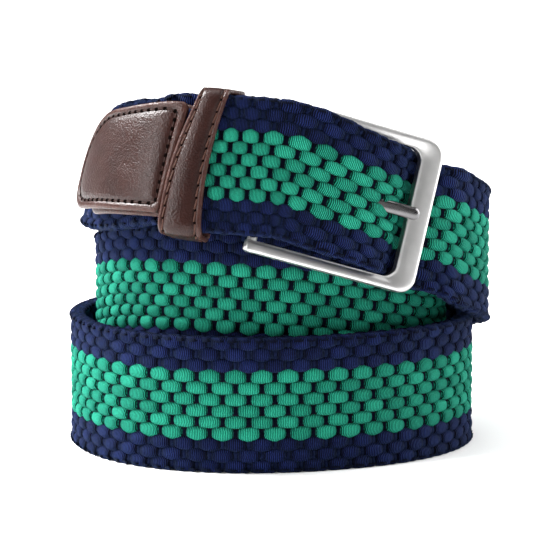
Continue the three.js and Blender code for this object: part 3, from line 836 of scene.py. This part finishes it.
def leather_tab():
    """The plain fold of leather from the hinge bar back over both faces of the strap's buckle end."""
    half = frame_window / 2 - window_clearance - frame_lift
    bend = hinge_bar_diameter / 2 + piece_gap + tab_leather / 2
    flat = tab_strap_thickness / 2 + piece_gap + tab_leather / 2
    slot_back = 5.6
    low_edge_up = 1.2
    line = [(arc_end - back, flat) for back in np.linspace(tab_length, 3, 14)]
    line.append((arc_end - 1.5, (flat + bend) / 2))
    for k in range(17):
        a = radians(90 - 180 * k / 16)
        line.append((arc_end + bend * cos(a), bend * sin(a)))
    line.append((arc_end - 1.5, -(flat + bend) / 2))
    line += [(arc_end - back, -flat) for back in np.linspace(3, tab_length, 14)]
    line = np.array(line)
    step = np.gradient(line, axis=0)
    off = unit(np.stack([-step[:, 1], step[:, 0]], axis=1))
    t = tab_leather / 2
    section = [(-t, 0.25), (-t * 0.5, 0), (t * 0.5, 0), (t, 0.25)]

    def strip(name, kept, low, high, replaces=()):
        part, side = line[kept], off[kept]
        ring = [(o, low + inset) for o, inset in section]
        ring += [(o, high - inset) for o, inset in reversed(section)]
        rings = [on_strap(part[:, 0] + side[:, 0] * o, part[:, 1] + side[:, 1] * o, v) for o, v in ring]
        points, faces = tube(np.stack(rings, axis=1))
        new_mesh(name, points, faces, "leather", replaces, None, np.zeros(len(points)))

    whole = np.full(len(line), True)
    before_slot = line[:, 0] < arc_end - slot_back
    slot_low = prong_side + frame_lift - tab_slot / 2
    slot_high = slot_low + tab_slot
    strip("tab_low_side", whole, low_edge_up - half, slot_low, ["buckle_tab"])
    strip("tab_high_side", whole, slot_high, half)
    strip("tab_middle_front", before_slot & (line[:, 1] > 0), slot_low - 0.3, slot_high + 0.3)
    strip("tab_middle_back", before_slot & (line[:, 1] < 0), slot_low - 0.3, slot_high + 0.3)


# Metal


def buckle_frame():
    """The bent bar of the buckle: side bars, rounded corners and a broad end bar, and the hinge bar."""
    outer_half = frame_height / 2
    inner_half = frame_window / 2
    left = -hinge_inset
    right = left + frame_length
    inner_right = right - end_bar_width
    inner_corner = frame_corner * 0.8
    side_to = right - frame_corner
    inner_to = inner_right - inner_corner
    pairs = []

    def pair(ou, ov, iu, iv):
        pairs.append((ou, ov, iu, iv))

    for share in np.linspace(0, 0.96, 22):
        pair(left + (side_to - left) * share, -outer_half, left + (inner_to - left) * share, -inner_half)
    for k in range(17):
        a = radians(-90 + 90 * k / 16)
        pair(
            side_to + frame_corner * cos(a), -outer_half + frame_corner + frame_corner * sin(a),
            inner_to + inner_corner * cos(a), -inner_half + inner_corner + inner_corner * sin(a),
        )
    for share in np.linspace(-0.88, 0, 9):
        pair(right, share * (outer_half - frame_corner), inner_right, share * (inner_half - inner_corner))
    pairs += [(ou, -ov, iu, -iv) for ou, ov, iu, iv in pairs[-2::-1]]
    crown = [(0.16, 0.05), (0.3, 0.4), (0.45, 0.7), (0.6, 0.87), (0.75, 0.93), (0.86, 0.82)]
    t = frame_thickness / 2
    rings = []
    for ou, ov, iu, iv in pairs:
        wide = hypot(ou - iu, ov - iv)
        du, dv = (ou - iu) / wide, (ov - iv) / wide
        grown = min(1, max(0, (wide - side_bar_width) / (end_bar_width - side_bar_width)))
        dome = 0.25 + (end_bar_dome - 0.25) * grown
        section = [
            (0, -t + 0.35), (0, 0), (0, t - 0.35), (0.08, t - 0.12), (0.26, t), (0.4, t - 0.06),
            *[(wide * at, t + dome * rise) for at, rise in crown],
            (wide - 0.3, t + dome * 0.6), (wide - 0.08, t + 0.02), (wide, t - 0.3), (wide, -t + 0.7),
            (wide - 0.2, -t + 0.2), (wide - 0.6, -t), (wide * 0.5, -t), (0.5, -t), (0.15, -t + 0.1),
        ]
        rings.append([on_frame(iu + du * x, n, iv + dv * x) for x, n in section])
    rings = np.array(rings)
    for end, step in ((0, 1), (-1, -1)):
        middle = rings[end].mean(0)
        rings[end] = middle + (rings[end] - middle) * 0.8
        rings[end + step] = rings[end + step] + (rings[end].mean(0) - rings[end + step].mean(0)) * 0.72
    count = rings.shape[1]
    points, faces = tube(rings)
    arc = lengths_along(rings.mean(1))
    uv = np.stack([np.repeat(arc, count), np.tile(np.linspace(0, 14, count), len(rings))], axis=1)
    new_mesh("frame_metal", points, faces, "metal", ["buckle_frame"], uv)
    sides = 28
    r = hinge_bar_diameter / 2
    v = np.array([-inner_half - 0.6, inner_half + 0.6])
    angle = np.linspace(0, 2 * pi, sides, endpoint=False)
    points = on_frame(r * np.cos(angle), r * np.sin(angle), v[:, None]).reshape(-1, 3)
    uv = np.stack([np.repeat(v, sides), np.tile(angle, 2)], axis=1)
    faces = outward(points, grid_faces(2, sides, wrap_columns=True))
    new_mesh("hinge_bar", points, faces, "metal", (), uv)


def prong():
    """The prong: an eye round the hinge bar and a bar that narrows to a rounded end on the end bar."""
    rest = frame_thickness / 2 + end_bar_dome + piece_gap + prong_thickness / 2
    end = end_bar_at + end_bar_width * (prong_reach_share - 0.5)
    rows = [
        (eye_outer - 0.5, 0.1), (0.2 * end_bar_at, 0.15 * rest), (0.45 * end_bar_at, 0.45 * rest),
        (0.7 * end_bar_at, 0.8 * rest), (0.85 * end_bar_at, rest), (end - 1.8, rest), (end, rest),
    ]
    height = column(rows, 1)
    round_end = [end - 1.7 + 1.65 * sin(radians(a)) for a in (0, 20, 38, 54, 66, 76, 84, 90)]
    stops = [*np.linspace(rows[0][0], end - 1.9, 30), *round_end]
    sides = 24
    boxy = 0.78
    a = np.linspace(0, 2 * pi, sides, endpoint=False)
    rings = []
    for u in stops:
        into = max(0, (u - (end - 1.7)) / 1.66)
        size = sqrt(max(0.0012, 1 - into * into))
        wide = np.sign(np.cos(a)) * np.abs(np.cos(a)) ** boxy * prong_width / 2 * size
        thick = np.sign(np.sin(a)) * np.abs(np.sin(a)) ** boxy * prong_thickness / 2 * size**0.8
        rings.append(on_frame(u, float(height(u)) + thick, wide + prong_side))
    points, faces = tube(np.array(rings))
    uv = np.stack([np.repeat(stops, sides), np.tile(np.linspace(0, 8, sides), len(stops))], axis=1)
    new_mesh("prong_metal", points, faces, "prong", ["buckle_prong"], uv)
    low = hinge_bar_diameter / 2 + piece_gap
    half = prong_width / 2
    section = [
        (low, -half), (eye_outer - 0.5, -half), (eye_outer - 0.15, -half + 0.15),
        (eye_outer, -half + 0.5), (eye_outer, half - 0.5), (eye_outer - 0.15, half - 0.15),
        (eye_outer - 0.5, half), (low, half),
    ]
    r, v = np.array(section).T
    angle = np.linspace(0, 2 * pi, 40, endpoint=False)
    points = np.concatenate([on_frame(r * cos(a), r * sin(a), v + prong_side) for a in angle])
    faces = grid_faces(len(angle), len(section), wrap_rows=True, wrap_columns=True)
    uv = np.stack([np.repeat(angle * eye_outer, len(r)), np.tile(np.arange(8.0), len(angle))], axis=1)
    new_mesh("prong_eye", points, outward(points, faces), "prong", (), uv)


# Materials


class Nodes:
    """A material's node tree, with short calls for the nodes used here."""

    def __init__(self, name):
        self.material = bpy.data.materials.new(name)
        self.material.use_nodes = True
        self.tree = self.material.node_tree
        self.shader = self.tree.nodes["Principled BSDF"]

    def add(self, kind, **settings):
        node = self.tree.nodes.new(kind)
        for key, value in settings.items():
            if key in node.inputs:
                node.inputs[key].default_value = value
            else:
                setattr(node, key, value)
        return node

    def link(self, output, target):
        self.tree.links.new(output, target)

    def feed(self, name, output):
        """Give one of the shader's own sockets a value that varies over the surface."""
        self.link(output, self.shader.inputs[name])

    def surface(self):
        """The piece's own coordinates: along it and across it."""
        split = self.add("ShaderNodeSeparateXYZ")
        self.link(self.add("ShaderNodeUVMap", uv_map="surface").outputs["UV"], split.inputs[0])
        return split.outputs[0], split.outputs[1]

    def tone(self):
        return self.add("ShaderNodeAttribute", attribute_name="tone").outputs["Fac"]

    def math(self, operation, a, b=0.0, c=0.0):
        node = self.tree.nodes.new("ShaderNodeMath")
        node.operation = operation
        for socket, value in zip(node.inputs, (a, b, c)):
            if isinstance(value, (int, float)):
                socket.default_value = value
            else:
                self.link(value, socket)
        return node.outputs[0]

    def noise(self, scale, detail=3, roughness=0.5, vector=None):
        node = self.tree.nodes.new("ShaderNodeTexNoise")
        node.inputs["Scale"].default_value = scale
        node.inputs["Detail"].default_value = detail
        node.inputs["Roughness"].default_value = roughness
        self.link(vector or self.object_point(), node.inputs["Vector"])
        return node.outputs["Fac"]

    def object_point(self):
        return self.tree.nodes.new("ShaderNodeTexCoord").outputs["Object"]

    def ramp(self, value, stops):
        node = self.tree.nodes.new("ShaderNodeValToRGB")
        elements = node.color_ramp.elements
        while len(elements) < len(stops):
            elements.new(0.5)
        for element, (at, colour) in zip(elements, stops):
            element.position = at
            element.color = (*colour, 1)
        self.link(value, node.inputs["Fac"])
        return node.outputs["Color"]

    def mix(self, share, a, b, blend="MIX"):
        node = self.tree.nodes.new("ShaderNodeMix")
        node.data_type = "RGBA"
        node.blend_type = blend
        for socket, value in ((node.inputs[0], share), (node.inputs[6], a), (node.inputs[7], b)):
            if isinstance(value, tuple):
                socket.default_value = (*value, 1)
            elif isinstance(value, (int, float)):
                socket.default_value = value
            else:
                self.link(value, socket)
        return node.outputs[2]

    def bump(self, height, strength, distance):
        node = self.add("ShaderNodeBump")
        node.inputs["Strength"].default_value = strength
        node.inputs["Distance"].default_value = distance
        self.link(height, node.inputs["Height"])
        self.feed("Normal", node.outputs["Normal"])

    def set(self, **values):
        for key, value in values.items():
            self.shader.inputs[key.replace("_", " ")].default_value = value


def srgb(r, g, b):
    """A colour given as 0 to 255 on a screen, as the light amounts that a shader takes."""
    return tuple((v / 255 / 12.92) if v <= 10 else ((v / 255 + 0.055) / 1.055) ** 2.4 for v in (r, g, b))


def yarn(name, deep, body, bright, sheen, foot_shade):
    """Ribbed yarn: fine fuzzy ribs across each float, with painted highlight on the ribs, painted shade in
    the grooves and painted shade round the float's foot.
    """
    m = Nodes(name)
    along, across = m.surface()
    bend = m.math("MULTIPLY", m.math("SINE", m.math("MULTIPLY", across, 19.0)), 0.55)
    drift = m.math("MULTIPLY", m.noise(900, 2), 3.2)
    wave = m.math("MULTIPLY", along, 2 * pi * ribs_per_float)
    phase = m.math("ADD", wave, m.math("ADD", bend, drift))
    rib = m.math("MULTIPLY_ADD", m.math("SINE", phase), 0.5, 0.5)
    fuzz = m.noise(5200, 4, 0.6)
    height = m.math("ADD", m.math("MULTIPLY", rib, 0.8), m.math("MULTIPLY", fuzz, 0.35))
    m.bump(height, 0.85, 0.0003)
    # Fibre fuzz is the yarn's own random tone; the rib term is painted highlight on the ridges and painted
    # shade in the grooves
    fuzz_and_rib_shade = m.math("MULTIPLY_ADD", fuzz, 0.45, m.math("MULTIPLY", rib, 0.6))
    shade = m.math("ADD", fuzz_and_rib_shade, m.math("MULTIPLY_ADD", m.tone(), 0.16, -0.08))
    # Painted shade: the colour darkens towards each float's border, where it dips between its neighbours
    inside = []
    for place in (along, across):
        from_middle = m.math("MULTIPLY_ADD", m.math("FRACT", place), 2, -1)
        inside.append(m.math("ABSOLUTE", from_middle))
    foot = m.math("POWER", m.math("MAXIMUM", *inside), 3)
    shade = m.math("MULTIPLY_ADD", foot, -foot_shade, shade)
    # The ramp runs from the darkest painted shade, through the yarn's own colour, to the brightest painted
    # highlight on the ribs
    m.feed("Base Color", m.ramp(shade, [(0.08, deep), (0.48, body), (0.95, bright)]))
    m.set(Roughness=0.8, Sheen_Weight=sheen, Sheen_Roughness=0.45, Specular_IOR_Level=0.03)
    m.set(Sheen_Tint=(0.28, 0.48, 1, 1))
    return m.material


def ground_weave():
    """The navy ground under the floats, made near-black in part as painted shade there."""
    m = Nodes("shaded_weave_ground")
    fuzz = m.noise(2600, 4, 0.6)
    # Near-black navy: the ground yarn's own colour darkened with painted shade
    m.feed("Base Color", m.ramp(fuzz, [(0.3, srgb(3, 4, 11)), (0.7, srgb(9, 12, 26))]))
    m.bump(fuzz, 0.6, 0.0003)
    m.set(Roughness=0.9, Specular_IOR_Level=0.2)
    return m.material


def leather():
    """Dark brown leather: fine grain, uneven dye, burnished and lighter along its edges."""
    m = Nodes("brown_leather")
    cells = m.add("ShaderNodeTexVoronoi")
    cells.inputs["Scale"].default_value = 2100
    m.link(m.object_point(), cells.inputs["Vector"])
    fine = m.math("MULTIPLY", m.noise(1400, 5, 0.6), 0.9)
    grain = m.math("MULTIPLY_ADD", cells.outputs["Distance"], 0.9, fine)
    m.bump(grain, 0.5, 0.0002)
    cloud = m.noise(160, 4, 0.6)
    body = m.ramp(
        m.math("MULTIPLY_ADD", cloud, 0.7, m.math("MULTIPLY", grain, 0.25)),
        [(0.2, srgb(23, 10, 8)), (0.55, srgb(37, 19, 16)), (0.9, srgb(49, 27, 23))],
    )
    edge = m.ramp(m.noise(900, 4, 0.7), [(0.25, srgb(38, 18, 15)), (0.8, srgb(84, 54, 47))])
    m.feed("Base Color", m.mix(m.math("MULTIPLY", m.tone(), 0.75), body, edge))
    m.feed("Roughness", m.math("MULTIPLY_ADD", m.noise(700, 3), 0.1, 0.26))
    m.set(Specular_IOR_Level=0.18, Coat_Weight=0.02, Coat_Roughness=0.2)
    return m.material


def thread(name, dark, light, shine):
    """Waxed thread with fine twist, and the painted shade of the needle holes."""
    m = Nodes(name)
    twist = m.noise(6000, 3)
    m.feed("Base Color", m.ramp(twist, [(0.3, dark), (0.7, light)]))
    m.bump(twist, 0.5, 0.0001)
    m.set(Roughness=0.7, Specular_IOR_Level=shine)
    return m.material


def metal(name, low, high, roughness, brushed):
    """Metal with fine brushing along the bar and a little unevenness."""
    m = Nodes(name)
    along, across = m.surface()
    stretched = m.add("ShaderNodeCombineXYZ")
    m.link(m.math("MULTIPLY", along, 0.02), stretched.inputs[0])
    m.link(m.math("MULTIPLY", across, 2.2), stretched.inputs[1])
    brushing = m.noise(9, 5, 0.65, stretched.outputs[0])
    m.feed("Roughness", m.math("MULTIPLY_ADD", brushing, 0.14, roughness))
    m.feed("Base Color", m.ramp(m.noise(220, 3), [(0.3, low), (0.7, high)]))
    m.bump(brushing, brushed, 0.00005)
    m.set(Metallic=1.0)
    return m.material


def make_looks():
    """Each look's material, and the slot of the record that it belongs to."""
    # The last two numbers of each yarn: its sheen, and how deep the painted shade round each float's foot is
    green = yarn("green_yarn", srgb(1, 26, 21), srgb(14, 101, 81), srgb(55, 184, 150), 0.04, 0.24)
    navy = yarn("navy_yarn", srgb(1, 1, 4), srgb(6, 9, 29), srgb(31, 43, 96), 0.09, 0.6)
    # A darker copy of the navy yarn: painted shade for the crossings sunk between the green floats
    shaded = yarn("shaded_navy_yarn", srgb(3, 4, 10), srgb(7, 9, 22), srgb(15, 19, 40), 0.02, 0.25)
    satin = metal("satin_metal", srgb(190, 190, 189), srgb(202, 201, 200), 0.3, 0.1)
    # The prong is the frame's metal in a darker copy: painted shade standing for the dark surroundings that
    # it reflects
    shaded_prong_metal = metal("prong_metal", srgb(104, 103, 104), srgb(116, 115, 116), 0.16, 0.02)
    return {
        "green": (green, "weave"),
        "navy": (navy, "weave"),
        "shaded_navy": (shaded, "weave"),
        "ground": (ground_weave(), "weave"),
        "leather": (leather(), "leather"),
        "thread": (thread("brown_thread", srgb(44, 24, 18), srgb(82, 50, 38), 0.3), "leather"),
        "dark_thread": (thread("dark_thread", srgb(26, 13, 11), srgb(54, 31, 26), 0.15), "leather"),
        "hole": (thread("needle_hole_shade", srgb(5, 3, 3), srgb(9, 6, 5), 0), "leather"),
        "metal": (satin, "buckle_metal"),
        "prong": (shaded_prong_metal, "buckle_metal"),
    }


# Stage, lights and camera


def stage():
    """A plain pale floor, which glows faintly further off so that it stays pale up to the horizon."""
    mesh = bpy.data.meshes.new("floor")
    mesh.from_pydata([(x, y, 0) for x, y in ((-1, -1), (1, -1), (1, 1), (-1, 1))], [], [(0, 1, 2, 3)])
    floor = add_object("floor", mesh)
    floor.scale = (floor_half, floor_half, 1)
    m = Nodes("pale_floor")
    m.feed("Base Color", m.ramp(m.noise(3, 2), [(0.3, (0.9, 0.9, 0.905)), (0.7, (0.92, 0.92, 0.92))]))
    distance = m.add("ShaderNodeVectorMath", operation="LENGTH")
    m.link(m.object_point(), distance.inputs[0])
    glow = m.math("MULTIPLY_ADD", distance.outputs["Value"], glow_per_metre, -glow_start)
    m.feed("Emission Strength", m.math("MINIMUM", m.math("MAXIMUM", glow, 0), glow_most))
    m.set(Roughness=0.6, Emission_Color=(1, 1, 1, 1))
    mesh.materials.append(m.material)


def lights():
    """Soft studio light from above and all round, with the strongest softbox high on the left."""
    scene = bpy.context.scene
    scene.world = bpy.data.worlds.new("studio")
    scene.world.use_nodes = True
    background = scene.world.node_tree.nodes["Background"]
    background.inputs["Color"].default_value = (1, 1, 1, 1)
    background.inputs["Strength"].default_value = world_strength
    scene.view_settings.view_transform = "Standard"
    sky = bpy.data.lights.new("overhead", "SUN")
    sky.energy = sun_strength
    sky.angle = radians(sun_spread_deg)
    add_object("overhead", sky)
    for name, place, size, watts in softboxes:
        light = bpy.data.lights.new(name, "AREA")
        light.shape = "RECTANGLE"
        light.size, light.size_y = size
        light.energy = watts
        holder = add_object(name, light)
        holder.location = place
        facing = Vector(light_aim) - Vector(place)
        holder.rotation_euler = facing.to_track_quat("-Z", "Y").to_euler()


def camera():
    """The photograph's view: a long lens, slightly above the strap's upper edge."""
    data = bpy.data.cameras.new("camera")
    data.lens = camera_lens
    data.sensor_width = 36
    data.shift_x, data.shift_y = camera_shift
    data.clip_start = 0.05
    holder = add_object("camera", data)
    holder.location = ((np.array([0, -camera_distance, camera_height]) + shift) * MM).tolist()
    down = atan((camera_height - camera_aim_height) / camera_distance)
    holder.rotation_euler = (pi / 2 - down, 0, 0)
    bpy.context.scene.camera = holder


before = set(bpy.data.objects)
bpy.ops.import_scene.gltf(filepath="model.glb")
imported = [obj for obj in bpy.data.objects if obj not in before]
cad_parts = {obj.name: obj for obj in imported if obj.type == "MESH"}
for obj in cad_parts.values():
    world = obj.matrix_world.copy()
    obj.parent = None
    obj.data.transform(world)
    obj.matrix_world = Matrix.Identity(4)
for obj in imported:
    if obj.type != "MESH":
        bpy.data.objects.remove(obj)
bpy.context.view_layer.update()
shift = frame_shift()
camera()
lights()
stage()
looks = make_looks()
strap_core()
for side, face in ((1, "front"), (-1, "back")):
    floats(f"green_floats_{face}", green_rows, side, "green", 0.45, green_gap)
    floats(f"navy_floats_low_{face}", navy_low, side, "navy", 0.72, navy_gap)
    floats(f"navy_floats_high_{face}", navy_high, side, "navy", 0.72, navy_gap)
    # The crossings between the green floats take the darker navy copy, painted shade
    gap_yarns(f"green_gap_yarns_{face}", green_rows, side, 0.5, "shaded_navy")
    gap_yarns(f"navy_gap_yarns_{face}", [*navy_low, *navy_high], side, 0.85, "navy")
edge_braid("edge_braid_low", -1)
edge_braid("edge_braid_high", 1)
leather_tip()
keeper()
leather_tab()
buckle_frame()
prong()
